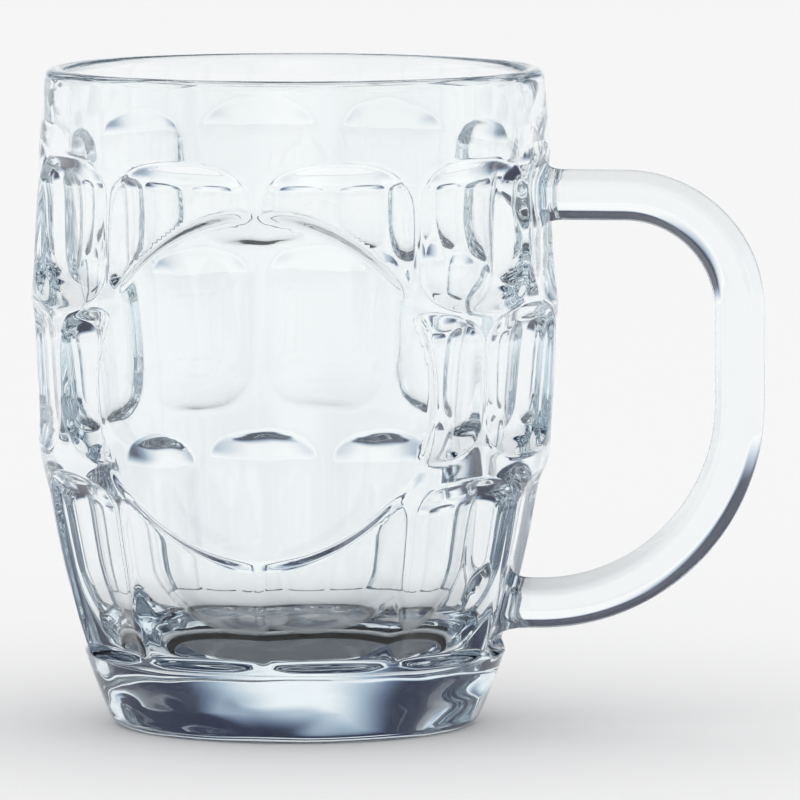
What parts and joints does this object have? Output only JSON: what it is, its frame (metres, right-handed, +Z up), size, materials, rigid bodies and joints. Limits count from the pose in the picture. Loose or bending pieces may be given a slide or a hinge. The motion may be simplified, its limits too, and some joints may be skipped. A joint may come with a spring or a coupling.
{
  "type": "dimpled glass beer mug",
  "caption": "Barrel-shaped pressed glass beer mug with staggered dimples, fluted heel, plain round panel, thick foot and a six-sided loop handle, for holding a drink",
  "frame": {"origin": "on the bowl's axis, level with the flat ring that the mug stands on", "axes": "+Z up along the bowl's axis, +X from the axis to the handle's grip, -Y out through the plain round panel"},
  "size_m": [0.1422, 0.1018, 0.127],
  "materials": {
    "clear_glass": "clear fire-polished pressed soda-lime glass with a faint cool tint in its thick parts"
  },
  "bodies": {
    "root": {"bowl": "clear_glass", "handle": "clear_glass"}
  },
  "joints": []
}
